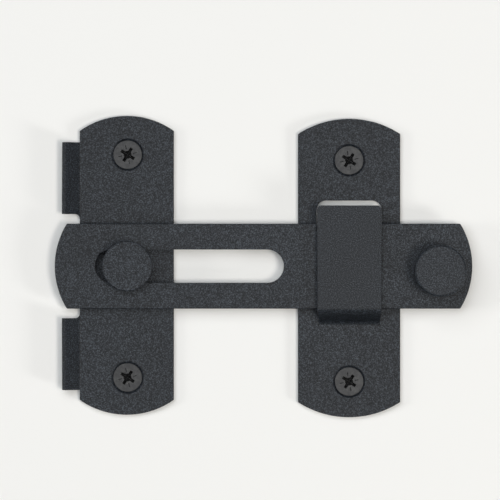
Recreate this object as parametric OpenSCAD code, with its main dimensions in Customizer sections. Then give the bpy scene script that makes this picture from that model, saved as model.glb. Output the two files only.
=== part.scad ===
// Toggle bolt latch for a pair of doors.
// A slotted bar slides and swings on a stud on one door. On the other door it drops behind a hook that is
// lanced out of the keeper plate. Two tabs beside the bar's short end stop it swinging once it is slid home.
//
// X runs along the bar from the stud to the knob, +Z is up and the doors' faces lie at y = 0, with the
// front towards -Y. The origin is on the stud's axis, on the back face of its plate.

/* [Sheet] */
// Thickness of both plates
plate_t = 1.5; // [1.2:0.1:2]
// Thickness of the bar
bar_t = 2; // [1.5:0.1:3]

/* [Stud plate] */
// Width of the stud plate, without its tabs
stud_plate_w = 24.4; // [20:0.1:30]
// Height of the stud plate
stud_plate_h = 77.5; // [72:0.1:95]
// Radius of the stud plate's two arched ends
stud_plate_arc = 21.2; // [16:0.1:40]
// How far the stud stands to the right of the plate's middle
stud_offset = 0.2; // [-1:0.1:1]
// How far the stud and the screws stand below the plate's middle
stud_drop = 0.2; // [-1:0.1:1]
// Distance between the stud plate's two screws
stud_screw_gap = 57.8; // [54:0.1:62]

/* [Tabs] */
// Length of each tab along the plate's edge
tab_len = 18.6; // [8:0.1:19]
// Reach of each tab's front face from its crease
tab_reach = 4.7; // [3:0.1:7]
// Angle between each tab and the plate
tab_lean = 40; // [30:1:60]
// Radius inside the tab's fold
tab_fold_r = 0.8; // [0.4:0.1:1.2]
// Play between each long edge of the bar and the tab beside it
tab_play = 2.5; // [1:0.1:4]
// Fillet between each tab and the notch that the bar slides through
tab_fillet = 1.2; // [0.5:0.1:2]

/* [Keeper plate] */
// Distance from the stud to the middle of the keeper plate
keeper_x = 57.45; // [45:0.05:75]
// Width of the keeper plate
keeper_w = 26.5; // [22:0.1:34]
// Height of the keeper plate
keeper_h = 77.4; // [74:0.1:95]
// Radius of the keeper plate's two arched ends
keeper_arc = 24.3; // [18:0.1:45]
// How far the keeper plate's middle stands below the stud
keeper_drop = 0.5; // [-1:0.1:1]
// How far the keeper's screws stand below its own middle
keeper_screw_drop = 0.75; // [-1:0.05:1]
// Distance between the keeper plate's two screws
keeper_screw_gap = 57.4; // [54:0.1:62]

/* [Hook] */
// Width of the hook
hook_w = 16.65; // [10:0.05:18]
// How much narrower each side of the hook is at its root
hook_taper = 0.55; // [0:0.05:1.5]
// Height of the hook's tip above the bar
hook_rise = 4.7; // [3:0.1:7]
// Corner radius of the hook's tip
hook_corner = 1.1; // [0.5:0.1:3]
// Distance from the bar's lower edge to the start of the hook's lower fold
hook_root = 4.45; // [4:0.05:6]
// Angle of the ramp between the hook's two folds
hook_lean = 65; // [60:1:75]
// Radius inside the hook's lower fold
hook_low_fold_r = 1.5; // [1:0.1:2]
// Radius inside the hook's upper fold
hook_high_fold_r = 0.6; // [0.4:0.1:1]
// Play between the bar and the back of the hook
hook_play = 0.55; // [0.3:0.05:1.5]
// Gap above the hook's tip where the sheet was cut away
window_gap = 1.3; // [0.6:0.1:3]
// Radius of the window's upper corners
window_corner = 2.5; // [1:0.1:4]
// Flat length of the hook between the end of its side cuts and its lower fold
window_foot = 0.1; // [0.1:0.05:1.5]
// Width of the cut along each side of the hook
cut_w = 0.15; // [0.1:0.05:0.4]

/* [Bar] */
// Height of the bar
bar_h = 22; // [18:0.1:26]
// Radius of the bar's two arched ends
bar_arc = 21; // [14:0.1:40]
// Distance from the knob's middle to the far end of the bar
bar_end = 8.4; // [7.5:0.1:20]
// Height of the slot
slot_h = 8.6; // [7.4:0.1:10]
// Distance from the stud's axis to the near end of the slot
slot_near = 8.4; // [5.5:0.1:9]
// Distance from the stud's axis to the far end of the slot
slot_far = 40.5; // [30:0.1:44]

/* [Stud] */
// Diameter of the stud's cap
cap_d = 12.9; // [11.5:0.1:16]
// Thickness of the stud's cap
cap_h = 3.5; // [2:0.1:6]
// Rounding of the cap's front edge
cap_rim = 0.3; // [0.1:0.1:0.8]
// Thickness of the washer behind the bar
spacer_t = 1.1; // [0.6:0.1:2]
// Thickness of the washer under the cap
cap_washer_t = 0.5; // [0.3:0.1:1]
// Outer diameter of both washers
washer_d = 11.6; // [10:0.1:12]
// Diameter of the riveted shank of the stud and of the knob
rivet_d = 5; // [4:0.1:6]
// Diameter of the rivets' spread tails
tail_d = 7; // [6.5:0.1:7.4]

/* [Knob] */
// Diameter of the knob
knob_d = 13.5; // [11:0.1:18]
// Height of the knob's body
knob_h = 6.5; // [4:0.1:12]
// Rounding of the knob's front edge
knob_rim = 0.6; // [0.2:0.1:1]
// Diameter of the neck under the knob
neck_d = 10; // [8:0.1:10.8]
// Height of the neck under the knob
neck_h = 1; // [0.5:0.1:3]
// Distance between the hook's edge and the knob with the bar at rest
knob_gap = 8.35; // [4:0.05:14]
// How far the knob stands below the middle of the bar
knob_drop = 1.2; // [0:0.1:3]

/* [Screws] */
// Diameter of the screws' heads
head_d = 7.5; // [6.5:0.1:8.5]
// How deep the heads sit below the plates' front faces
head_depth = 0.25; // [0.1:0.05:0.4]
// Thickness of the straight rim of the heads
head_rim = 0.1; // [0.05:0.05:0.2]
// Gap between the heads' cones and the countersinks
head_gap = 0.15; // [0.05:0.05:0.3]
// Outer diameter of the thread
thread_d = 3.9; // [3:0.1:4.5]
// Length of the screws
screw_l = 20; // [12:1:40]
// Length of the screws' points
point_l = 4; // [2:0.1:6]
// Width of the arms of the cross recess
cross_w = 0.9; // [0.6:0.1:1.2]
// Span of the cross recess
cross_l = 4.2; // [3:0.1:5]
// Depth of the cross recess
cross_depth = 1.6; // [1:0.1:2.2]

/* [Fits] */
// Radial running clearance of everything that turns on the stud's axis
turn_gap = 0.08; // [0.02:0.01:0.1]
// Clearance between flat faces that slide on each other
face_gap = 0.05; // [0.02:0.01:0.2]
// Clearance between the stud and each side of the slot
slot_gap = 0.2; // [0.1:0.05:0.4]
// Clearance between the bar's near corners and the tabs as it swings past them
swing_gap = 0.19; // [0.1:0.01:1]

/* [Hidden] */
$fn = 96;

coat = "#33373a";
screw_finish = "#2b2d2f";
nylon = "#1e1f20";

// Turn of each screw's cross recess, as the screws happen to stand
stud_top_turn = 58;
stud_bottom_turn = 57;
keeper_top_turn = 56;
keeper_bottom_turn = 56;

// Cutters reach this far past the faces they cut
past = 1;
// Number of flats that make each fold round
fold_steps = 10;

// Heights above the doors
bar_back = plate_t + face_gap + spacer_t + face_gap;
bar_front = bar_back + bar_t;
cap_base = bar_front + face_gap + cap_washer_t + face_gap;
hook_back = bar_front + hook_play;
knob_base = bar_front + neck_h;

// Stud plate
plate_left = stud_plate_w / 2 + stud_offset;
shoulder_d = slot_h - 2 * slot_gap;
tab_near = bar_h / 2 + tab_play;
tab_lead = tab_fold_r;

// The bar's near corners clear the tabs where the tabs' front faces pass the bar's back
tab_x = plate_left + (bar_back - plate_t) / tan(tab_lean);
corner_r = norm([tab_x, tab_near]) - swing_gap;
end_sag = bar_arc - sqrt(pow(bar_arc, 2) - pow(bar_h / 2, 2));
bar_near = sqrt(pow(corner_r, 2) - pow(bar_h / 2, 2)) + end_sag;

knob_x = keeper_x + hook_w / 2 + knob_gap + knob_d / 2;
bar_far = knob_x + bar_end;

// Hook, from its folds: the ramp makes up what the two folds leave of the offset
fold_sum = hook_low_fold_r + hook_high_fold_r + plate_t;
ramp_l = (hook_back - fold_sum * (1 - cos(hook_lean))) / sin(hook_lean);
joggle_run = fold_sum * sin(hook_lean) + ramp_l * cos(hook_lean);
joggle_flat = fold_sum * hook_lean * PI / 180 + ramp_l;
fold_z = -bar_h / 2 - hook_root;
root_z = fold_z - window_foot;
hook_top = bar_h / 2 + hook_rise;
window_top = hook_top + window_gap;

sink_d = head_d + 2 * (head_depth + head_rim + head_gap);

// Takes what is drawn flat, with its height as z, and stands it on the door with its height towards -Y
module off_door() {
    rotate([90, 0, 0]) children();
}

// Upright strip whose two ends are arched
module arched_strip(length, width, arc) {
    sag = arc - sqrt(pow(arc, 2) - pow(width / 2, 2));
    square([width, length - 2 * sag], center = true);
    for (end = [-1, 1])
        intersection() {
            translate([0, end * (length / 2 - sag)]) square([width, 2 * sag], center = true);
            translate([0, end * (length / 2 - arc)]) circle(r = arc);
        }
}

// Strip that stands on the x axis and has its two upper corners rounded
module round_topped(width, height, corner) {
    translate([-width / 2, 0]) square([width, height - corner]);
    translate([corner - width / 2, 0]) square([width - 2 * corner, height]);
    for (side = [-1, 1])
        translate([side * (width / 2 - corner), height - corner]) circle(r = corner);
}

// Strip that widens from its foot up to a height, and then runs straight to round corners
module tapered_strip(foot, width, widen, height, corner) {
    polygon([[-foot / 2, 0], [foot / 2, 0], [width / 2, widen], [-width / 2, widen]]);
    translate([0, widen]) round_topped(width, height - widen, corner);
}

// A place along a sheet's back is [point, heading]. These step it along, look beside it and carry it round a
// centre that lies beside it.
function along(place, d) = [place[0] + d * [cos(place[1]), sin(place[1])], place[1]];
function beside(place, d) = place[0] + d * [-sin(place[1]), cos(place[1])];
function carried(place, centre, turn) =
    let (heading = place[1] + turn)
        [beside(place, centre) - centre * [-sin(heading), cos(heading)], heading];

// Places round each fold. A fold is the flat before it, its turn (+ towards the front) and its inside radius.
function fold_places(folds, place, i = 0) =
    i == len(folds) ? [] :
    let (
        start = along(place, folds[i][0]),
        centre = folds[i][1] > 0 ? plate_t + folds[i][2] : -folds[i][2],
        round = [for (step = [0:fold_steps]) carried(start, centre, folds[i][1] * step / fold_steps)]
    )
        concat(round, fold_places(folds, round[fold_steps], i + 1));

// Section through a sheet that starts flat along the x axis, with its front upwards
module folded_sheet(folds, last_flat) {
    start = [[0, 0], 0];
    round = fold_places(folds, start);
    places = concat([start], round, [along(round[len(round) - 1], last_flat)]);
    polygon([
        for (place = places) place[0],
        for (i = [len(places) - 1:-1:0]) beside(places[i], plate_t),
    ]);
}

// Round post with its front edge rounded
module round_rimmed(d, height, rim) {
    rotate_extrude() {
        square([d / 2 - rim, height]);
        square([d / 2, height - rim]);
        translate([d / 2 - rim, height - rim])
            intersection() {
                circle(r = rim);
                square(rim);
            }
    }
}

// Riveted shank through a sheet, with its tail spread in a 45 degree countersink in the sheet's back, and
// ground off just under that back
module rivet_shank(sheet_t) {
    translate([0, 0, face_gap]) {
        cylinder(d = rivet_d, h = sheet_t - face_gap);
        cylinder(d1 = tail_d - 2 * face_gap, d2 = rivet_d, h = (tail_d - rivet_d) / 2 - face_gap);
    }
}

// Hole through a sheet for a riveted shank
module rivet_hole(sheet_t) {
    translate([0, 0, -past]) cylinder(d = rivet_d + 2 * turn_gap, h = sheet_t + 2 * past);
    translate([0, 0, -past])
        cylinder(d1 = tail_d + 2 * (turn_gap + past), d2 = rivet_d + 2 * turn_gap,
            h = (tail_d - rivet_d) / 2 + past);
}

// Flat washer on the stud's shoulder
module washer(thickness) {
    difference() {
        cylinder(d = washer_d, h = thickness);
        translate([0, 0, -past]) cylinder(d = shoulder_d + 2 * turn_gap, h = thickness + 2 * past);
    }
}

// Countersink right through a plate, for one screw
module countersink() {
    translate([0, 0, -past])
        cylinder(d1 = sink_d - 2 * (plate_t + past), d2 = sink_d + 2 * past, h = plate_t + 2 * past);
}

// Places children at the upper or the lower screw of a plate
module at_screws(x, middle, gap, sides = [-1, 1]) {
    for (side = sides) translate([x, middle + side * gap / 2, 0]) children();
}

// Where the upper tab stands in the plate's outline, out to a reach past the plate's edge
module tab_footprint(reach) {
    translate([-plate_left - reach, tab_near]) square([reach + tab_lead, tab_len]);
}

// Tab above the bar, folded forwards from the stud plate's edge
module tab() {
    crease = tab_fold_r * tan(tab_lean / 2);
    intersection() {
        rotate([90, 0, 180]) linear_extrude(tab_near + tab_len)
            translate([plate_left - tab_lead, 0])
                folded_sheet([[tab_lead - crease, tab_lean, tab_fold_r]], tab_reach - crease);
        linear_extrude(tab_reach + plate_t) {
            tab_footprint(tab_reach + plate_t);
            difference() {
                translate([-plate_left - tab_fillet, tab_near - tab_fillet]) square(tab_fillet);
                translate([-plate_left - tab_fillet, tab_near - tab_fillet]) circle(r = tab_fillet);
            }
        }
    }
}

// Hook that the bar drops behind, lanced out of the keeper plate
module hook() {
    intersection() {
        translate([-hook_w / 2, root_z, 0]) rotate([90, 0, 90]) linear_extrude(hook_w)
            folded_sheet(
                [[window_foot, hook_lean, hook_low_fold_r], [ramp_l, -hook_lean, hook_high_fold_r]],
                hook_top - fold_z - joggle_run
            );
        translate([0, root_z, 0]) linear_extrude(hook_back + plate_t)
            tapered_strip(hook_w - 2 * hook_taper, hook_w, joggle_run + window_foot, hook_top - root_z,
                hook_corner);
    }
}

module stud_plate() {
    color(coat) off_door() {
        difference() {
            linear_extrude(plate_t)
                difference() {
                    translate([-stud_offset, stud_drop])
                        arched_strip(stud_plate_h, stud_plate_w, stud_plate_arc);
                    for (side = [0, 1]) mirror([0, side, 0]) tab_footprint(past);
                }
            at_screws(0, 0, stud_screw_gap) countersink();
            rivet_hole(plate_t);
        }
        for (side = [0, 1]) mirror([0, side, 0]) tab();
    }
}

module keeper_plate() {
    color(coat) off_door() {
        difference() {
            linear_extrude(plate_t) translate([keeper_x, -keeper_drop])
                arched_strip(keeper_h, keeper_w, keeper_arc);
            translate([keeper_x, root_z, -past]) linear_extrude(plate_t + 2 * past)
                tapered_strip(hook_w - 2 * hook_taper + 2 * cut_w, hook_w + 2 * cut_w, joggle_flat,
                    window_top - root_z, window_corner);
            at_screws(keeper_x, -keeper_drop - keeper_screw_drop, keeper_screw_gap) countersink();
        }
        translate([keeper_x, 0, 0]) hook();
    }
}

module sliding_bar() {
    color(coat) off_door() translate([0, 0, bar_back])
        difference() {
            linear_extrude(bar_t) translate([(bar_far - bar_near) / 2, 0]) rotate(90)
                arched_strip(bar_far + bar_near, bar_h, bar_arc);
            translate([0, 0, -past]) linear_extrude(bar_t + 2 * past) {
                translate([slot_h / 2 - slot_near, -slot_h / 2])
                    square([slot_far + slot_near - slot_h, slot_h]);
                for (x = [slot_h / 2 - slot_near, slot_far - slot_h / 2])
                    translate([x, 0]) circle(d = slot_h);
            }
            translate([knob_x, -knob_drop, 0]) rivet_hole(bar_t);
        }
}

module pivot_stud() {
    color(coat) off_door() {
        rivet_shank(plate_t + face_gap);
        translate([0, 0, plate_t + face_gap]) cylinder(d = shoulder_d, h = cap_base - plate_t - face_gap);
        translate([0, 0, cap_base]) round_rimmed(cap_d, cap_h, cap_rim);
    }
}

module spacer_washer() {
    color(nylon) off_door() translate([0, 0, plate_t + face_gap]) washer(spacer_t);
}

module cap_washer() {
    color(nylon) off_door() translate([0, 0, bar_front + face_gap]) washer(cap_washer_t);
}

module handle_knob() {
    color(coat) off_door() translate([knob_x, -knob_drop, 0]) {
        translate([0, 0, bar_back]) rivet_shank(bar_t);
        translate([0, 0, bar_front]) cylinder(d = neck_d, h = neck_h);
        translate([0, 0, knob_base]) round_rimmed(knob_d, knob_h, knob_rim);
    }
}

// Countersunk wood screw with a cross recess, its head in a plate and its shank in the door
module wood_screw(turn) {
    head_top = plate_t - head_depth;
    cone_h = (head_d - thread_d) / 2;
    color(screw_finish)
        difference() {
            union() {
                translate([0, 0, head_top - head_rim]) cylinder(d = head_d, h = head_rim);
                translate([0, 0, head_top - head_rim - cone_h])
                    cylinder(d1 = thread_d, d2 = head_d, h = cone_h);
                translate([0, 0, head_top - screw_l + point_l])
                    cylinder(d = thread_d, h = screw_l - point_l - head_rim - cone_h);
                translate([0, 0, head_top - screw_l]) cylinder(d1 = 0, d2 = thread_d, h = point_l);
            }
            for (arm = [0, 90])
                translate([0, 0, head_top]) rotate(turn + arm)
                    cube([cross_l, cross_w, 2 * cross_depth], center = true);
        }
}

module stud_screw(side, turn) {
    off_door() at_screws(0, 0, stud_screw_gap, [side]) wood_screw(turn);
}

module keeper_screw(side, turn) {
    off_door() at_screws(keeper_x, -keeper_drop - keeper_screw_drop, keeper_screw_gap, [side])
        wood_screw(turn);
}

stud_plate();
keeper_plate();
sliding_bar();
pivot_stud();
spacer_washer();
cap_washer();
handle_knob();
stud_screw(1, stud_top_turn);  // stud_screw_top
stud_screw(-1, stud_bottom_turn);  // stud_screw_bottom
keeper_screw(1, keeper_top_turn);  // keeper_screw_top
keeper_screw(-1, keeper_bottom_turn);  // keeper_screw_bottom
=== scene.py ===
"""Toggle bolt latch: the looks of its sheet, turned and threaded pieces, and a plain studio round it.

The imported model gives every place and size. The sheet pieces are its own shapes with their cut edges
broken, as tumbling leaves them before the powder coat. The stud, the knob and the screws are turned anew.
"""

import logging
import math
from contextlib import contextmanager
from dataclasses import dataclass, field
from enum import Enum
from typing import Callable, Iterator

import bmesh
import bpy
from mathutils import Matrix, Vector


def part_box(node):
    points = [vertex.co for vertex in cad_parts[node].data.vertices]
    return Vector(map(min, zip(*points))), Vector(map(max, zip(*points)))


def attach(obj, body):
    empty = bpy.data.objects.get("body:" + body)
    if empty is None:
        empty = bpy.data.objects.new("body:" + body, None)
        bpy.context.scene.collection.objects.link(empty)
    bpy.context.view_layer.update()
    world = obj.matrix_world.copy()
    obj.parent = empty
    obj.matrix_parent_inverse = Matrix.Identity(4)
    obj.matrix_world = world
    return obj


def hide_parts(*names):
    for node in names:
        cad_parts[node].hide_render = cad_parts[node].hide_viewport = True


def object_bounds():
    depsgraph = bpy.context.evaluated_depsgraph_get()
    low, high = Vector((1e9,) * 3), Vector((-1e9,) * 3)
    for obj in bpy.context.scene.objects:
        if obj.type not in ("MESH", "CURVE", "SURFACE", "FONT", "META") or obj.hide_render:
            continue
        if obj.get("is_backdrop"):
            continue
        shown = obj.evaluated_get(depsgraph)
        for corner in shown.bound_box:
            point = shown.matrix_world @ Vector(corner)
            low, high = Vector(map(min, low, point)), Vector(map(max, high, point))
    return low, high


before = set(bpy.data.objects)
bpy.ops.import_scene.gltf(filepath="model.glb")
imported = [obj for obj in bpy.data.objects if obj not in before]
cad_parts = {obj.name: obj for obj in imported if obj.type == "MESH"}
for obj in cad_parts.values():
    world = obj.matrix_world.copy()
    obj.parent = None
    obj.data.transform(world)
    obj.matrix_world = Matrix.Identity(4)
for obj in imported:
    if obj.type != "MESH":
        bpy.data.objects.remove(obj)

MM = 0.001
WELD = 1e-6
FLAT_LIMIT = math.radians(0.2)
SMOOTH_LIMIT = math.radians(50)
SCREWS = ("stud_screw_top", "stud_screw_bottom", "keeper_screw_top", "keeper_screw_bottom")
SCREW_TURNS = (58.0, 57.0, 56.0, 56.0)
LOG = logging.getLogger("latch")


# ---------------------------------------------------------------- small tools


def linear(colour: str) -> tuple[float, float, float, float]:
    """Turns an sRGB hex colour to linear values.

    Args:
        colour: Six hex digits after a hash.

    Returns:
        Linear red, green, blue and an alpha of 1.
    """
    parts = [int(colour[i:i + 2], 16) / 255 for i in (1, 3, 5)]
    lit = [c / 12.92 if c <= 0.04045 else ((c + 0.055) / 1.055) ** 2.4 for c in parts]
    return (lit[0], lit[1], lit[2], 1.0)


def add_node(
    tree: bpy.types.NodeTree,
    kind: str,
    values: dict | None = None,
    links: dict | None = None,
    **settings: object,
) -> bpy.types.Node:
    """Adds one shader node with its settings, values and links.

    Args:
        tree: The node tree that takes it.
        kind: The node's type.
        values: Values by socket name or number.
        links: Output sockets by input socket name or number.
        settings: The node's own properties.

    Returns:
        The new node.
    """
    node = tree.nodes.new(kind)
    for name, value in settings.items():
        setattr(node, name, value)
    for socket, value in (values or {}).items():
        node.inputs[socket].default_value = value
    for socket, source in (links or {}).items():
        tree.links.new(source, node.inputs[socket])
    return node


def per_mm(size: float) -> float:
    """Texture scale whose features are about that many millimetres across."""
    return 1 / (size * MM)


def select_only(obj: bpy.types.Object) -> None:
    """Deselects everything, then selects and activates one object.

    Args:
        obj: The object to select.
    """
    bpy.ops.object.select_all(action="DESELECT")
    obj.select_set(True)
    bpy.context.view_layer.objects.active = obj


@contextmanager
def editing(obj: bpy.types.Object, select: str = "DESELECT") -> Iterator[None]:
    """Edit mode on one object, with its mesh all selected or all deselected.

    Args:
        obj: The object to edit.
        select: "SELECT" or "DESELECT", for the whole mesh.

    Yields:
        Nothing, while edit mode lasts.
    """
    select_only(obj)
    bpy.ops.object.mode_set(mode="EDIT")
    bpy.ops.mesh.select_all(action=select)
    yield
    bpy.ops.object.mode_set(mode="OBJECT")


def select_faces(obj: bpy.types.Object, wanted: Callable[[bmesh.types.BMFace], bool]) -> None:
    """Selects in edit mode the faces that a test picks, and no others.

    Args:
        obj: The object in edit mode.
        wanted: The test of one face.
    """
    bpy.ops.mesh.select_mode(type="FACE")
    mesh = bmesh.from_edit_mesh(obj.data)
    for face in mesh.faces:
        face.select_set(wanted(face))
    bmesh.update_edit_mesh(obj.data)


def apply_modifier(obj: bpy.types.Object, kind: str, **settings: object) -> None:
    """Adds a modifier and applies it.

    Args:
        obj: The object that takes it.
        kind: The modifier's type.
        settings: The modifier's own properties.
    """
    select_only(obj)
    modifier = obj.modifiers.new(kind.title(), kind)
    for name, value in settings.items():
        setattr(modifier, name, value)
    bpy.ops.object.modifier_apply(modifier=modifier.name)


def settle(obj: bpy.types.Object) -> None:
    """Puts an object's place and turn into its mesh."""
    select_only(obj)
    bpy.ops.object.transform_apply(location=True, rotation=True, scale=True)


def break_edges(
    obj: bpy.types.Object, width: float, segments: int = 2, sharp: float = 40, offset_type: str = "OFFSET"
) -> None:
    """Rounds every sharp edge and shades the piece smooth.

    Args:
        obj: The object to finish.
        width: Width of the rounding in millimetres.
        segments: Number of flats across it.
        sharp: Least angle of an edge that counts as sharp, in degrees.
        offset_type: What the width measures, as the bevel operator names it.
    """
    with editing(obj):
        bpy.ops.mesh.select_mode(type="EDGE")
        bpy.ops.mesh.edges_select_sharp(sharpness=math.radians(sharp))
        bpy.ops.mesh.bevel(
            offset=width * MM,
            segments=segments,
            affect="EDGES",
            offset_type=offset_type,
            clamp_overlap=offset_type == "OFFSET",
        )
    smooth(obj)


def smooth(obj: bpy.types.Object) -> None:
    """Shades an object smooth, with its large faces flat.

    Args:
        obj: The object to shade.
    """
    select_only(obj)
    bpy.ops.object.shade_smooth_by_angle(angle=SMOOTH_LIMIT)
    apply_modifier(obj, "WEIGHTED_NORMAL", keep_sharp=True, weight=100)


def cut(obj: bpy.types.Object, tool: bpy.types.Object, operation: str = "DIFFERENCE") -> None:
    """Cuts an object with another, or joins the two, and removes the second.

    Args:
        obj: The object that stays.
        tool: The object that cuts it or is joined to it.
        operation: "DIFFERENCE" or "UNION".
    """
    apply_modifier(obj, "BOOLEAN", object=tool, operation=operation, solver="EXACT")
    bpy.data.objects.remove(tool)


# ------------------------------------------------------------------- finishes


class Slot(Enum):
    """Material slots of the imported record."""

    COAT = "powder_coat"
    SCREW = "black_screw"
    NYLON = "nylon"


@dataclass(frozen=True)
class Blank:
    """A new material with the pieces of its node tree that every finish starts from.

    Attributes:
        material: The material.
        tree: Its nodes.
        shader: Its Principled shader.
        place: Coordinates of the piece that wears it.
    """

    material: bpy.types.Material
    tree: bpy.types.NodeTree
    shader: bpy.types.Node
    place: bpy.types.NodeSocket

    @classmethod
    def named(cls, name: str) -> "Blank":
        """Starts a material whose patterns lie on Object coordinates.

        Args:
            name: The material's name.

        Returns:
            The blank.
        """
        material = bpy.data.materials.new(name)
        material.use_nodes = True
        tree = material.node_tree
        place = add_node(tree, "ShaderNodeTexCoord").outputs["Object"]
        return cls(material, tree, tree.nodes["Principled BSDF"], place)

    def blend(self, factor: bpy.types.NodeSocket, stops: list[tuple[float, str]]) -> bpy.types.NodeSocket:
        """Blends from one colour to the next as a pattern rises.

        Args:
            factor: The pattern.
            stops: The pattern's value and the colour there, in rising order.

        Returns:
            The blended colour.
        """
        ramp = add_node(self.tree, "ShaderNodeValToRGB", links={"Fac": factor})
        first, last = ramp.color_ramp.elements
        first.position, first.color = stops[0][0], linear(stops[0][1])
        last.position, last.color = stops[-1][0], linear(stops[-1][1])
        for value, colour in stops[1:-1]:
            ramp.color_ramp.elements.new(value).color = linear(colour)
        return ramp.outputs["Color"]

    def relief(self, height: bpy.types.NodeSocket, depth: float, strength: float) -> None:
        """Raises the surface with a pattern.

        Args:
            height: The pattern.
            depth: Height of its crests over its hollows, in millimetres.
            strength: Share of the effect that is used.
        """
        bump = add_node(
            self.tree, "ShaderNodeBump", {"Strength": strength, "Distance": depth * MM}, {"Height": height}
        )
        self.tree.links.new(bump.outputs["Normal"], self.shader.inputs["Normal"])


@dataclass(frozen=True)
class PowderCoat:
    """Fine sandy black powder coat, baked on steel.

    The cured grains stand up as a sand of a quarter of a millimetre. They scatter the light, so the black
    reads as a soft slate grey with paler specks, and edges show as thin light lines. Its colour carries
    painted shade in the hollows between the grains and a painted highlight on their crests.

    Attributes:
        black: Colour of the coat.
        crest_highlight: Painted highlight on the grains' crests and in the single glints.
        hollow_shade: Painted shade in the hollows between the grains.
        gloss: Specular level of the cured resin.
        roughness: Mean roughness.
        grain_mm: Size of the grains.
        grain_stops: The grain pattern's values at the painted hollow shade, the coat and the painted crest
            highlight.
        glint_mm: Distance between the single painted glints.
        glint_reach: Radius of a painted glint, as a share of that distance.
        glint_rarity: Share of the painted glints that stay dark.
        glint_strength: How far a painted glint takes the painted crest highlight.
        peel_mm: Size of the waves left by the melting powder.
        cloud_mm: Size of the slow clouds where the coat is thinner.
        cloud_shade: Darkest and palest shade of those clouds.
        relief_mm: Height of the grains.
    """

    black: str = "#171b20"
    crest_highlight: str = "#42484f"
    hollow_shade: str = "#07090b"
    gloss: float = 0.26
    roughness: float = 0.5
    grain_mm: float = 0.27
    grain_stops: tuple[float, float, float] = (0.34, 0.5, 0.68)
    glint_mm: float = 0.4
    glint_reach: float = 0.22
    glint_rarity: float = 0.72
    glint_strength: float = 0.55
    peel_mm: float = 1.6
    cloud_mm: float = 24.0
    cloud_shade: tuple[float, float] = (0.9, 1.12)
    relief_mm: float = 0.035

    def material(self) -> bpy.types.Material:
        """Builds the material.

        Returns:
            The material, on Object coordinates.
        """
        blank = Blank.named("sandy_black_powder_coat")
        tree, shader, place = blank.tree, blank.shader, blank.place
        grain = add_node(
            tree,
            "ShaderNodeTexNoise",
            {"Scale": per_mm(self.grain_mm), "Detail": 3.0, "Roughness": 0.62},
            {"Vector": place},
        ).outputs["Fac"]
        peel = add_node(
            tree, "ShaderNodeTexNoise", {"Scale": per_mm(self.peel_mm), "Detail": 2.0}, {"Vector": place}
        ).outputs["Fac"]
        # Painted shade in the grains' hollows and a painted highlight on their crests, on the same grain as
        # the relief
        shade = blank.blend(grain, list(zip(self.grain_stops, (self.hollow_shade, self.black, self.crest_highlight))))
        # Painted glints: a few single crests lightened as if they caught the light
        glinted = self._painted_glints(tree, place, shade)
        tree.links.new(self._clouds(tree, place, glinted), shader.inputs["Base Color"])
        # Crests are rubbed a little smoother than the hollows between them
        rough = add_node(
            tree,
            "ShaderNodeMapRange",
            {
                "From Min": 0.3,
                "From Max": 0.7,
                "To Min": self.roughness + 0.1,
                "To Max": self.roughness - 0.08,
            },
            {"Value": grain},
        )
        tree.links.new(rough.outputs[0], shader.inputs["Roughness"])
        height = add_node(tree, "ShaderNodeMath", {1: 0.5}, {0: peel, 2: grain}, operation="MULTIPLY_ADD")
        blank.relief(height.outputs[0], self.relief_mm, 0.75)
        shader.inputs["IOR"].default_value = 1.5
        shader.inputs["Specular IOR Level"].default_value = self.gloss
        return blank.material

    def _painted_glints(
        self, tree: bpy.types.NodeTree, place: bpy.types.NodeSocket, shade: bpy.types.NodeSocket
    ) -> bpy.types.NodeSocket:
        """Paints a few crests lighter, as single glints where they would catch the light.

        Args:
            tree: The material's nodes.
            place: The pattern's coordinates.
            shade: The colour under the painted glints.

        Returns:
            The colour with its painted glints.
        """
        cells = add_node(
            tree, "ShaderNodeTexVoronoi", {"Scale": per_mm(self.glint_mm)}, {"Vector": place}
        )
        glint_spot = add_node(
            tree,
            "ShaderNodeMapRange",
            {"From Min": 0.0, "From Max": self.glint_reach, "To Min": 1.0, "To Max": 0.0},
            {"Value": cells.outputs["Distance"]},
        )
        chance = add_node(tree, "ShaderNodeSeparateColor", links={"Color": cells.outputs["Color"]})
        rare = add_node(
            tree,
            "ShaderNodeMath",
            {1: self.glint_rarity},
            {0: chance.outputs["Red"]},
            operation="GREATER_THAN",
        )
        glint_spots = add_node(
            tree, "ShaderNodeMath", links={0: glint_spot.outputs[0], 1: rare.outputs[0]}, operation="MULTIPLY"
        )
        strength = add_node(
            tree, "ShaderNodeMath", {1: self.glint_strength}, {0: glint_spots.outputs[0]}, operation="MULTIPLY"
        )
        # Mixes the painted glints into the colour
        glinted = add_node(
            tree,
            "ShaderNodeMix",
            {"B": linear(self.crest_highlight)},
            {"Factor": strength.outputs[0], "A": shade},
            data_type="RGBA",
        )
        return glinted.outputs["Result"]

    def _clouds(
        self, tree: bpy.types.NodeTree, place: bpy.types.NodeSocket, colour: bpy.types.NodeSocket
    ) -> bpy.types.NodeSocket:
        """Shades the coat in slow clouds, where it is a little thinner or thicker.

        Args:
            tree: The material's nodes.
            place: The pattern's coordinates.
            colour: The colour to shade.

        Returns:
            The shaded colour.
        """
        cloud = add_node(
            tree, "ShaderNodeTexNoise", {"Scale": per_mm(self.cloud_mm), "Detail": 1.0}, {"Vector": place}
        )
        thin, thick = self.cloud_shade
        drift = add_node(
            tree,
            "ShaderNodeMapRange",
            {"From Min": 0.3, "From Max": 0.7, "To Min": thin, "To Max": thick},
            {"Value": cloud.outputs["Fac"]},
        )
        clouded = add_node(
            tree, "ShaderNodeVectorMath", links={0: colour, "Scale": drift.outputs[0]}, operation="SCALE"
        )
        return clouded.outputs["Vector"]


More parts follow.
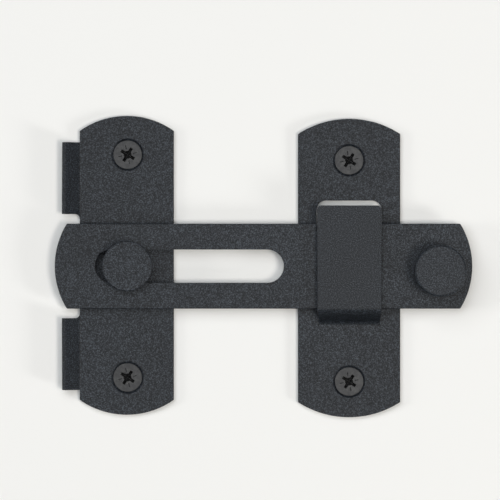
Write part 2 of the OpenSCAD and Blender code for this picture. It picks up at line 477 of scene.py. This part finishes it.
@dataclass(frozen=True)
class BlackZinc:
    """Black passivated zinc on a cold-headed screw.

    A thin conversion coat over bright plating: a smooth, slightly warm dark grey with metal in its gloss,
    and paler where driving and tumbling have rubbed the crests.

    Attributes:
        black: Colour of the coat.
        rubbed: Colour where it is rubbed thin.
        metallic: Share of bare plating in its gloss.
        roughness: Mean roughness.
        mottle_mm: Size of the rubbed patches.
        scratch_mm: Size of the fine scuffs.
        relief_mm: Depth of those scuffs.
    """

    black: str = "#1e1e1f"
    rubbed: str = "#343433"
    metallic: float = 0.3
    roughness: float = 0.4
    mottle_mm: float = 0.9
    scratch_mm: float = 0.35
    relief_mm: float = 0.01

    def material(self) -> bpy.types.Material:
        """Builds the material.

        Returns:
            The material, on Object coordinates.
        """
        blank = Blank.named("black_zinc_screw")
        tree, shader, place = blank.tree, blank.shader, blank.place
        mottle = add_node(
            tree, "ShaderNodeTexNoise", {"Scale": per_mm(self.mottle_mm), "Detail": 4.0}, {"Vector": place}
        )
        scratch = add_node(
            tree,
            "ShaderNodeTexNoise",
            {"Scale": per_mm(self.scratch_mm), "Detail": 2.0, "Distortion": 1.5},
            {"Vector": place},
        )
        shade = blank.blend(mottle.outputs["Fac"], [(0.4, self.black), (0.75, self.rubbed)])
        tree.links.new(shade, shader.inputs["Base Color"])
        rough = add_node(
            tree,
            "ShaderNodeMapRange",
            {
                "From Min": 0.3,
                "From Max": 0.7,
                "To Min": self.roughness - 0.08,
                "To Max": self.roughness + 0.1,
            },
            {"Value": scratch.outputs["Fac"]},
        )
        tree.links.new(rough.outputs[0], shader.inputs["Roughness"])
        blank.relief(scratch.outputs["Fac"], self.relief_mm, 0.5)
        shader.inputs["Metallic"].default_value = self.metallic
        return blank.material


@dataclass(frozen=True)
class MouldedNylon:
    """Black nylon 66, injection moulded.

    Dense and slightly waxy: a deep black with a soft broad gloss and the faint flow mottle of a moulding.

    Attributes:
        black: Colour of the nylon.
        flow: Colour where it flowed last.
        roughness: Mean roughness.
        flow_mm: Size of the flow mottle.
        spark_mm: Size of the mould's spark-eroded grain.
        relief_mm: Depth of that grain.
    """

    black: str = "#16171a"
    flow: str = "#1f2124"
    roughness: float = 0.48
    flow_mm: float = 2.5
    spark_mm: float = 0.3
    relief_mm: float = 0.015

    def material(self) -> bpy.types.Material:
        """Builds the material.

        Returns:
            The material, on Object coordinates.
        """
        blank = Blank.named("moulded_black_nylon")
        tree, shader, place = blank.tree, blank.shader, blank.place
        flow = add_node(
            tree, "ShaderNodeTexNoise", {"Scale": per_mm(self.flow_mm), "Detail": 2.0}, {"Vector": place}
        )
        spark = add_node(tree, "ShaderNodeTexNoise", {"Scale": per_mm(self.spark_mm)}, {"Vector": place})
        shade = blank.blend(flow.outputs["Fac"], [(0.35, self.black), (0.7, self.flow)])
        tree.links.new(shade, shader.inputs["Base Color"])
        rough = add_node(
            tree,
            "ShaderNodeMapRange",
            {"To Min": self.roughness - 0.06, "To Max": self.roughness + 0.08},
            {"Value": flow.outputs["Fac"]},
        )
        tree.links.new(rough.outputs[0], shader.inputs["Roughness"])
        blank.relief(spark.outputs["Fac"], self.relief_mm, 0.4)
        shader.inputs["IOR"].default_value = 1.53
        return blank.material


@dataclass(frozen=True)
class Finishes:
    """The latch's three finishes, each made once.

    Attributes:
        coat: Powder coat of the plates, the bar, the stud and the knob.
        screw: Black zinc of the screws.
        nylon: Nylon of the washers.
    """

    coat: bpy.types.Material
    screw: bpy.types.Material
    nylon: bpy.types.Material

    @classmethod
    def made(cls) -> "Finishes":
        """Builds the three materials."""
        return cls(PowderCoat().material(), BlackZinc().material(), MouldedNylon().material())

    def of(self, slot: Slot) -> bpy.types.Material:
        """The material of one slot."""
        return {Slot.COAT: self.coat, Slot.SCREW: self.screw, Slot.NYLON: self.nylon}[slot]


def hand_over(obj: bpy.types.Object, node: str, body: str, slot: Slot, finishes: Finishes) -> None:
    """Dresses a finished piece, sets it on its body and lets it stand for its CAD node.

    Args:
        obj: The finished piece.
        node: The CAD node that it stands for.
        body: The body that it rides on.
        slot: Its material slot.
        finishes: The finishes to dress it from.
    """
    obj.data.materials.clear()
    obj.data.materials.append(finishes.of(slot))
    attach(obj, body)
    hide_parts(node)
    LOG.info("%s: %d faces, rides on %s", obj.name, len(obj.data.polygons), body)


# --------------------------------------------------------------- sheet pieces


@dataclass
class PressedSheet:
    """Plates, bar and washers: cut from flat stock, with their edges broken before the finish.

    Attributes:
        node: The CAD node whose shape it takes.
        body: The body it rides on.
        slot: Its material slot.
        edge: Width of its broken edges in millimetres.
        segments: Number of flats across each broken edge.
        sharp: Least angle of an edge that is broken, in degrees.
    """

    node: str
    body: str
    slot: Slot = Slot.COAT
    edge: float = 0.16
    segments: int = 3
    sharp: float = 35

    def build(self, finishes: Finishes) -> bpy.types.Object:
        """Builds the piece from its node's shape.

        Args:
            finishes: The finishes to dress it from.

        Returns:
            The finished piece.
        """
        piece = bpy.data.objects.new(f"{self.node}_piece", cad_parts[self.node].data.copy())
        bpy.context.scene.collection.objects.link(piece)
        self._merge(piece)
        # Absolute widths keep the corners from running out where a fold leaves the plate at a few degrees
        break_edges(piece, self.edge, self.segments, self.sharp, "ABSOLUTE")
        hand_over(piece, self.node, self.body, self.slot, finishes)
        return piece

    def _merge(self, piece: bpy.types.Object) -> None:
        """Welds the loose triangles and joins those that lie in one plane.

        Args:
            piece: The copy of the node's shape.
        """
        select_only(piece)
        bpy.ops.mesh.customdata_custom_splitnormals_clear()
        with editing(piece, "SELECT"):
            bpy.ops.mesh.remove_doubles(threshold=WELD)
            bpy.ops.mesh.dissolve_limited(angle_limit=FLAT_LIMIT)


# -------------------------------------------------------------- turned pieces


@dataclass(frozen=True)
class Ring:
    """One circle of a turned outline, in millimetres.

    Attributes:
        radius: Its radius.
        height: Its height along the axis.
    """

    radius: float
    height: float


def rounded_rim(radius: float, top: float, rim: float, steps: int = 8) -> list[Ring]:
    """Rings of a rounded front edge, from the side wall to the face.

    Args:
        radius: Outer radius.
        top: Height of the face.
        rim: Radius of the rounding.
        steps: Number of flats across it.

    Returns:
        The rings, from the wall up to the face's edge.
    """
    turns = [math.radians(90 * i / steps) for i in range(steps + 1)]
    return [Ring(radius - rim + rim * math.cos(a), top - rim + rim * math.sin(a)) for a in turns]


def bevelled_rim(
    radius: float, top: float, rim: float, bevel: float = 0.32, slope: float = 36, steps: int = 6
) -> list[Ring]:
    """Rings of a front edge whose rounding runs out into a narrow bevel, which takes the side light.

    Args:
        radius: Outer radius.
        top: Height of the face.
        rim: Width of the rounding and the bevel together.
        bevel: Width of the bevel.
        slope: Slope of the bevel from the face, in degrees.
        steps: Number of flats across the rounding.

    Returns:
        The rings, from the wall up to the face's edge.
    """
    turns = [math.radians(slope * (steps - i) / steps) for i in range(steps + 1)]
    bend = (rim - bevel) / math.sin(turns[0])
    arc = [Ring(radius - rim + bend * math.sin(a), top - bend + bend * math.cos(a)) for a in turns]
    return [Ring(radius, arc[0].height - bevel * math.tan(turns[0])), *arc]


def flat_rim(radius: float, top: float, width: float, depth: float, steps: int = 5) -> list[Ring]:
    """Rings of a low, wide rounding, as on the face of a headed screw.

    Args:
        radius: Outer radius.
        top: Height of the face.
        width: Width of the rounding.
        depth: Depth of the rounding.
        steps: Number of flats across it.

    Returns:
        The rings, from the rim up to the face's edge.
    """
    turns = [math.radians(90 * i / steps) for i in range(steps + 1)]
    return [Ring(radius - width + width * math.cos(a), top - depth + depth * math.sin(a)) for a in turns]


def turned(name: str, rings: list[Ring], sides: int = 96) -> bpy.types.Object:
    """Turns a solid about the Z axis from a disc, one ring after another.

    Args:
        name: The new object's name.
        rings: Its outline, from the back to the front.
        sides: Number of sides of each ring.

    Returns:
        The new object, upright, with its rings' heights as Z.
    """
    first = rings[0]
    bpy.ops.object.select_all(action="DESELECT")
    bpy.ops.mesh.primitive_circle_add(
        vertices=sides, radius=first.radius * MM, fill_type="NGON", location=(0, 0, first.height * MM)
    )
    piece = bpy.context.active_object
    piece.name = name
    with editing(piece, "SELECT"):
        for last, ring in zip(rings, rings[1:]):
            grow = ring.radius / last.radius
            bpy.ops.mesh.extrude_region_move(
                TRANSFORM_OT_translate={"value": (0, 0, (ring.height - last.height) * MM)}
            )
            bpy.ops.transform.resize(value=(grow, grow, 1), center_override=(0, 0, ring.height * MM))
        bpy.ops.mesh.select_all(action="SELECT")
        bpy.ops.mesh.remove_doubles(threshold=WELD)
        bpy.ops.mesh.normals_make_consistent(inside=False)
    settle(piece)
    return piece


def stand_off_door(obj: bpy.types.Object, x: float, z: float) -> None:
    """Turns an upright piece so that its height points out of the door, and moves it to its place.

    Args:
        obj: The piece, upright on the origin.
        x: Its place along the bar, in metres.
        z: Its place up the door, in metres.
    """
    obj.matrix_world = Matrix.Translation((x, 0, z)) @ Matrix.Rotation(math.radians(90), 4, "X")
    settle(obj)


def middle(node: str) -> Vector:
    """Middle of a CAD node's box."""
    low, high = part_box(node)
    return (low + high) / 2


@dataclass
class TurnedPost:
    """The stud and the knob: a head on a neck, with a shank whose tail is riveted at the back.

    Heights run out of the door and start at the back of the tail, which the CAD box gives.

    Attributes:
        node: The CAD node that it stands for.
        body: The body it rides on.
        neck: Radius and length of the neck under the head, in millimetres.
        head: Thickness of the head.
        rim: Width of the head's front edge.
        outline: The rings of that edge, from its radius, height and width.
        shank: Radius of the riveted shank.
        tail: Radius of its spread tail.
        corner: Width of the broken corners.
        slot: Its material slot.
    """

    node: str
    body: str
    neck: tuple[float, float]
    head: float
    rim: float
    outline: Callable[[float, float, float], list[Ring]] = rounded_rim
    shank: float = 2.5
    tail: float = 3.45
    corner: float = 0.08
    slot: Slot = Slot.COAT

    def build(self, finishes: Finishes) -> bpy.types.Object:
        """Builds the post.

        Args:
            finishes: The finishes to dress it from.

        Returns:
            The finished piece.
        """
        low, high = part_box(self.node)
        back, front = -high.y / MM, -low.y / MM
        radius = (high.x - low.x) / 2 / MM
        neck_radius, neck_length = self.neck
        head_base = front - self.head
        shoulder = head_base - neck_length
        rings = [
            Ring(self.tail, back),
            Ring(self.shank, back + self.tail - self.shank),
            Ring(self.shank, shoulder),
            Ring(neck_radius, shoulder),
            Ring(neck_radius, head_base),
            Ring(radius, head_base),
            *self.outline(radius, front, self.rim),
        ]
        piece = turned(f"{self.node}_piece", rings)
        break_edges(piece, self.corner)
        at = middle(self.node)
        stand_off_door(piece, at.x, at.z)
        hand_over(piece, self.node, self.body, self.slot, finishes)
        return piece


# --------------------------------------------------------------------- screws


@dataclass
class WoodScrew:
    """Countersunk 4 mm wood screw with a cross recess, modelled once and copied to each hole.

    Attributes:
        head_rim: Thickness of the head's rim over the cone, in millimetres.
        rim_width: Width of the slope that rounds the face's edge.
        core: Radius of the core between the threads.
        crest: Radius of the thread's crest.
        crest_width: Width of the thread's crest.
        root: Share of the pitch that the thread covers at its root.
        sink: How far the thread's root is sunk into the core.
        pitch: Distance from one turn to the next.
        point: Length of the point.
        point_taper: Share of that length over which the core narrows.
        tip: Radius of the point's end.
        ends: Share of the thread left at the point and where it ends under the head.
        plain: Length of plain shank under the head.
        arm_span: Span of the recess's arms.
        arm_width: Width of each arm.
        recess: Depth of the recess.
        hub: Radius of the recess's middle.
        hub_foot: Radius and further depth of the hub's foot.
        tick: Inner and outer radius of the thin marks between the arms.
        tick_width: Width of each mark.
        tick_depth: Depth of each mark.
        mouth: Width of the rounding round the recess's mouth.
        taper: Length and width of a cutter's foot, as shares of its top.
        above: How far a blade stands over the face.
        sides: Number of sides of the head and the core.
        hub_sides: Number of sides of the recess's middle.
        steps: Number of steps in one turn of the thread.
    """

    head_rim: float = 0.1
    rim_width: float = 0.14
    core: float = 1.32
    crest: float = 1.94
    crest_width: float = 0.14
    root: float = 0.42
    sink: float = 0.15
    pitch: float = 1.8
    point: float = 4.0
    point_taper: float = 0.85
    tip: float = 0.02
    ends: tuple[float, float] = (0.06, 0.15)
    plain: float = 1.2
    arm_span: float = 4.3
    arm_width: float = 0.92
    recess: float = 1.6
    hub: float = 1.08
    hub_foot: tuple[float, float] = (0.08, 0.5)
    tick: tuple[float, float] = (1.35, 2.55)
    tick_width: float = 0.32
    tick_depth: float = 0.35
    mouth: float = 0.07
    taper: tuple[float, float] = (0.6, 0.06)
    above: float = 0.3
    sides: int = 72
    hub_sides: int = 24
    steps: int = 36

    def build(self, turns: dict[str, float], finishes: Finishes) -> list[bpy.types.Object]:
        """Builds the screws.

        Args:
            turns: The turn of each screw's recess in degrees, by CAD node.
            finishes: The finishes to dress them from.

        Returns:
            The finished screws.
        """
        low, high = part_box(next(iter(turns)))
        head = (high.x - low.x) / 2 / MM
        length = (high.y - low.y) / MM
        top = -low.y / MM
        model = self._blank(head, length, top)
        for tool in self._recess_tools(top):
            cut(model, tool)
        with editing(model):
            self._select_head_edges(model, top)
            bpy.ops.mesh.bevel(offset=self.mouth * MM, segments=2, affect="EDGES", clamp_overlap=True)
        cut(model, self._thread(length, top, head), "UNION")
        smooth(model)
        screws = [self._copy(model, node, turn, finishes) for node, turn in turns.items()]
        bpy.data.objects.remove(model)
        return screws

    def _cone_foot(self, head: float, top: float) -> float:
        """Height at which the head's cone meets the core."""
        return top - self.head_rim - (head - self.core)

    def _blank(self, head: float, length: float, top: float) -> bpy.types.Object:
        """Head, core and point, turned in one.

        Args:
            head: Radius of the head.
            length: Length of the screw.
            top: Height of the head's face.

        Returns:
            The blank, upright on the origin.
        """
        end = top - length
        rings = [
            Ring(self.tip, end),
            Ring(self.core, end + self.point * self.point_taper),
            Ring(self.core, self._cone_foot(head, top)),
            *flat_rim(head, top, self.rim_width, self.head_rim),
        ]
        return turned("screw_model", rings, self.sides)

    def _thread(self, length: float, top: float, head: float) -> bpy.types.Object:
        """One closed ridge that winds up the core and thins out at both ends.

        Args:
            length: Length of the screw.
            top: Height of its head's face.
            head: Radius of its head.

        Returns:
            The ridge, a little sunk into the core.
        """
        tip = top - length
        foot = self._cone_foot(head, top) - self.plain
        rounds = int((foot - tip) / self.pitch)
        bpy.ops.object.select_all(action="DESELECT")
        bpy.ops.mesh.primitive_plane_add(size=MM)
        ridge = bpy.context.active_object
        flank = self.root * self.pitch / 2
        outline = [
            (self.core - self.sink, -flank),
            (self.crest, -self.crest_width / 2),
            (self.crest, self.crest_width / 2),
            (self.core - self.sink, flank),
        ]
        with editing(ridge, "SELECT"):
            bpy.ops.mesh.delete(type="ONLY_FACE")
            mesh = bmesh.from_edit_mesh(ridge.data)
            loop = mesh.verts[:]
            order = [loop[0], loop[1], loop[3], loop[2]]
            for vert, (radius, height) in zip(order, outline):
                vert.co = Vector((radius, 0, tip + flank + height)) * MM
            bmesh.update_edit_mesh(ridge.data)
        apply_modifier(
            ridge,
            "SCREW",
            angle=math.tau,
            screw_offset=self.pitch * MM,
            iterations=rounds,
            steps=self.steps,
            render_steps=self.steps,
            axis="Z",
            use_normal_calculate=False,
        )
        with editing(ridge, "SELECT"):
            bpy.ops.mesh.remove_doubles(threshold=WELD)
            bpy.ops.mesh.fill_holes(sides=0)
            bpy.ops.mesh.normals_make_consistent(inside=False)
        self._run_out(ridge, tip, tip + rounds * self.pitch)
        return ridge

    def _run_out(self, ridge: bpy.types.Object, tip: float, end: float) -> None:
        """Draws the thread in to the point, and thins it out over its last turn under the head.

        Args:
            ridge: The thread's ridge.
            tip: Height of the screw's point.
            end: Height at which the thread ends.
        """
        at_point, at_head = self.ends
        for vert in ridge.data.vertices:
            at = vert.co / MM
            radius = math.hypot(at.x, at.y)
            toward_point = min(1.0, max(at_point, (at.z - tip) / self.point))
            toward_head = min(1.0, max(0.0, (end - at.z) / self.pitch + at_head))
            stand = max(0.0, radius - self.core) * toward_head
            inner = min(radius, self.core) * toward_point
            grow = (inner + stand * toward_point) / radius
            vert.co.x *= grow
            vert.co.y *= grow

    def _recess_tools(self, top: float) -> list[bpy.types.Object]:
        """Cutters of the cross recess, its tapered hub and the marks between its arms.

        Args:
            top: Height of the head's face.

        Returns:
            The cutters, in the order to cut.
        """
        arms = [self._blade(top, self.arm_span, self.arm_width, self.recess, 0.0, turn) for turn in (0, 90)]
        foot, deeper = self.hub_foot
        rings = [Ring(foot, top - self.recess - deeper), Ring(self.hub, top + 0.1)]
        hub = turned("hub", rings, self.hub_sides)
        inner, outer = self.tick
        ticks = [
            self._blade(top, outer - inner, self.tick_width, self.tick_depth, (inner + outer) / 2, turn)
            for turn in (45, 135, 225, 315)
        ]
        return [*arms, hub, *ticks]

    def _blade(
        self, top: float, span: float, width: float, depth: float, out: float, turn: float
    ) -> bpy.types.Object:
        """One tapered cutter.

        Args:
            top: Height of the head's face.
            span: Length of the cut.
            width: Width of the cut.
            depth: Depth of the cut.
            out: Distance of its middle from the axis.
            turn: Its turn about the axis, in degrees.

        Returns:
            The cutter.
        """
        bpy.ops.object.select_all(action="DESELECT")
        bpy.ops.mesh.primitive_cube_add(size=1, scale=(span * MM, width * MM, (depth + self.above) * MM))
        blade = bpy.context.active_object
        settle(blade)
        with editing(blade):
            select_faces(blade, lambda face: face.normal.z < -0.9)
            bpy.ops.transform.resize(value=(*self.taper, 1), center_override=(0, 0, 0))
        lift = (top + (self.above - depth) / 2) * MM
        spin = Matrix.Rotation(math.radians(turn), 4, "Z")
        blade.matrix_world = spin @ Matrix.Translation((out * MM, 0, lift))
        settle(blade)
        return blade

    def _select_head_edges(self, model: bpy.types.Object, top: float) -> None:
        """Selects the sharp edges of the recess's mouth on the head's face.

        Args:
            model: The screw in edit mode.
            top: Height of the head's face.
        """
        bpy.ops.mesh.select_mode(type="EDGE")
        mesh = bmesh.from_edit_mesh(model.data)
        for edge in mesh.edges:
            on_face = all(abs(v.co.z / MM - top) < 0.002 for v in edge.verts)
            bent = len(edge.link_faces) == 2 and edge.calc_face_angle(0) > math.radians(40)
            edge.select_set(on_face and bent)
        bmesh.update_edit_mesh(model.data)

    def _copy(
        self, model: bpy.types.Object, node: str, turn: float, finishes: Finishes
    ) -> bpy.types.Object:
        """Copies the model to one hole.

        Args:
            model: The screw, upright on the origin.
            node: The CAD node that the copy stands for.
            turn: Turn of its recess, in degrees.
            finishes: The finishes to dress it from.

        Returns:
            The copy.
        """
        screw = bpy.data.objects.new(f"{node}_piece", model.data.copy())
        bpy.context.scene.collection.objects.link(screw)
        screw.matrix_world = Matrix.Rotation(math.radians(turn), 4, "Z")
        settle(screw)
        at = middle(node)
        stand_off_door(screw, at.x, at.z)
        hand_over(screw, node, "plates", Slot.SCREW, finishes)
        return screw


# --------------------------------------------------------------------- studio


@dataclass
class Softbox:
    """One soft light of the studio.

    Attributes:
        name: The light's name.
        place: Its place from the point that it faces, in metres.
        size: Its diameter in metres.
        power: Its power in watts.
        colour: Its colour as sRGB hex.
    """

    name: str
    place: tuple[float, float, float]
    size: float
    power: float
    colour: str = "#ffffff"

    def build(self, aim: Vector) -> bpy.types.Object:
        """Makes the light and points it at the latch.

        Args:
            aim: The point that it faces.

        Returns:
            The light.
        """
        data = bpy.data.lights.new(self.name, "AREA")
        data.shape = "DISK"
        data.size = self.size
        data.energy = self.power
        data.color = linear(self.colour)[:3]
        light = bpy.data.objects.new(self.name, data)
        bpy.context.scene.collection.objects.link(light)
        light.location = aim + Vector(self.place)
        light.rotation_euler = (aim - light.location).to_track_quat("-Z", "Y").to_euler()
        return light


@dataclass
class Studio:
    """Camera square to the doors, a pale backdrop in the doors' plane, and soft light.

    Attributes:
        view_width: Width of the camera's view at the doors, in millimetres.
        aim_left: How far the view's middle is left of the latch's, in millimetres.
        aim_up: How far the view's middle is above the latch's, in millimetres.
        distance: Distance of the camera from the doors, in metres.
        backdrop_width: Width of the backdrop in metres.
        backdrop_behind: How far it stands behind the plates, in millimetres.
        backdrop_colour: Its colour.
        world_colour: Colour of the surround.
        world_strength: Share of the surround that lights the latch.
        screw_hole: Radius of the backdrop's holes for the screws, in millimetres.
        lights: The soft lights.
    """

    view_width: float = 129.8
    aim_left: float = 3.5
    aim_up: float = 4.3
    distance: float = 1.4
    backdrop_width: float = 1.6
    backdrop_behind: float = 0.1
    backdrop_colour: str = "#f2f1ed"
    world_colour: str = "#eef0f2"
    world_strength: float = 0.06
    screw_hole: float = 2.0
    lights: list[Softbox] = field(default_factory=lambda: [
        Softbox("key_right", (0.42, -1.12, -0.16), 0.35, 4.9, "#fffaf4"),
        Softbox("fill_high_left", (-0.25, -1.15, 0.28), 1.3, 10.3, "#f6faff"),
        Softbox("edge_left", (-0.95, -0.45, 0.0), 0.3, 1.8),
        Softbox("edge_right", (0.85, -0.38, -0.42), 0.25, 2.8),
        Softbox("back_fill", (0.5, 1.1, 0.45), 1.0, 12.0),
    ])

    def build(self, low: Vector, high: Vector) -> None:
        """Sets up the camera, the backdrop and the lights.

        Args:
            low: Lowest corner of the latch.
            high: Highest corner of the latch.
        """
        mid = (low + high) / 2
        aim = Vector((mid.x - self.aim_left * MM, 0, mid.z + self.aim_up * MM))
        self._camera(aim)
        self._backdrop(mid)
        self._world()
        for light in self.lights:
            light.build(aim)
        bpy.context.scene.view_settings.view_transform = "Standard"

    def _camera(self, aim: Vector) -> None:
        """Makes the camera, square to the doors.

        Args:
            aim: The point in the middle of its view.
        """
        data = bpy.data.cameras.new("camera")
        data.sensor_width = 36.0
        data.lens = data.sensor_width * self.distance / (self.view_width * MM)
        camera = bpy.data.objects.new("camera", data)
        bpy.context.scene.collection.objects.link(camera)
        camera.location = (aim.x, -self.distance, aim.z)
        camera.rotation_euler = (math.radians(90), 0, 0)
        bpy.context.scene.camera = camera

    def _backdrop(self, mid: Vector) -> None:
        """Makes the pale backdrop and drills it for the screws.

        Args:
            mid: Middle of the latch.
        """
        back = self.backdrop_behind * MM
        upright = (math.radians(90), 0, 0)
        bpy.ops.object.select_all(action="DESELECT")
        bpy.ops.mesh.primitive_plane_add(
            size=self.backdrop_width, location=(mid.x, back, mid.z), rotation=upright
        )
        backdrop = bpy.context.active_object
        backdrop.name = "backdrop"
        settle(backdrop)
        with editing(backdrop, "SELECT"):
            bpy.ops.mesh.delete(type="ONLY_FACE")
            for screw in SCREWS:
                at = middle(screw)
                bpy.ops.mesh.primitive_circle_add(
                    vertices=24, radius=self.screw_hole * MM, location=(at.x, back, at.z), rotation=upright
                )
            bpy.ops.mesh.select_all(action="SELECT")
            bpy.ops.mesh.fill()
            if bmesh.from_edit_mesh(backdrop.data).faces[:][0].normal.y > 0:
                bpy.ops.mesh.flip_normals()
        backdrop.data.materials.append(self._paint())
        backdrop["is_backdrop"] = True

    def _paint(self) -> bpy.types.Material:
        """Satin white paint: an even, shadow-catching white from the front, and clear from behind.

        Returns:
            The backdrop's material.
        """
        material = bpy.data.materials.new("satin_white_paint")
        material.use_nodes = True
        tree = material.node_tree
        paint = tree.nodes["Principled BSDF"]
        paint.inputs["Base Color"].default_value = linear(self.backdrop_colour)
        paint.inputs["Roughness"].default_value = 0.7
        clear = add_node(tree, "ShaderNodeBsdfTransparent")
        side = add_node(tree, "ShaderNodeNewGeometry")
        ray = add_node(tree, "ShaderNodeLightPath")
        # Light from behind passes through, so that the latch's back can be looked at
        open_to = add_node(
            tree,
            "ShaderNodeMath",
            links={0: side.outputs["Backfacing"], 1: ray.outputs["Is Shadow Ray"]},
            operation="MAXIMUM",
        )
        mix = add_node(
            tree,
            "ShaderNodeMixShader",
            links={0: open_to.outputs[0], 1: paint.outputs[0], 2: clear.outputs[0]},
        )
        tree.links.new(mix.outputs[0], tree.nodes["Material Output"].inputs["Surface"])
        return material

    def _world(self) -> None:
        """Sets a pale surround that the camera sees in full and that lights the latch only faintly."""
        world = bpy.data.worlds.new("surround")
        world.use_nodes = True
        tree = world.node_tree
        sky = tree.nodes["Background"]
        sky.inputs["Color"].default_value = linear(self.world_colour)
        ray = add_node(tree, "ShaderNodeLightPath")
        strength = add_node(
            tree,
            "ShaderNodeMapRange",
            {"To Min": self.world_strength, "To Max": 1.0},
            {"Value": ray.outputs["Is Camera Ray"]},
        )
        tree.links.new(strength.outputs[0], sky.inputs["Strength"])
        bpy.context.scene.world = world


# ----------------------------------------------------------------------- main


def main() -> None:
    """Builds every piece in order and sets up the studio."""
    logging.basicConfig(level=logging.INFO, format="%(name)s: %(message)s")
    cad_low, cad_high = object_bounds()
    finishes = Finishes.made()
    sheets = [
        PressedSheet("stud_plate", "plates"),
        PressedSheet("keeper_plate", "plates"),
        PressedSheet("sliding_bar", "bar", edge=0.24),
        PressedSheet("spacer_washer", "pivot", Slot.NYLON, edge=0.1, segments=2),
        PressedSheet("cap_washer", "pivot", Slot.NYLON, edge=0.08, segments=2),
    ]
    for sheet in sheets:
        sheet.build(finishes)
    posts = [
        TurnedPost("pivot_stud", "pivot", neck=(4.1, 3.75), head=3.5, rim=0.3),
        TurnedPost("handle_knob", "bar", neck=(5.0, 1.0), head=6.5, rim=0.68, outline=bevelled_rim),
    ]
    for post in posts:
        post.build(finishes)
    WoodScrew().build(dict(zip(SCREWS, SCREW_TURNS)), finishes)
    Studio().build(cad_low, cad_high)


if __name__ == "__main__":
    main()
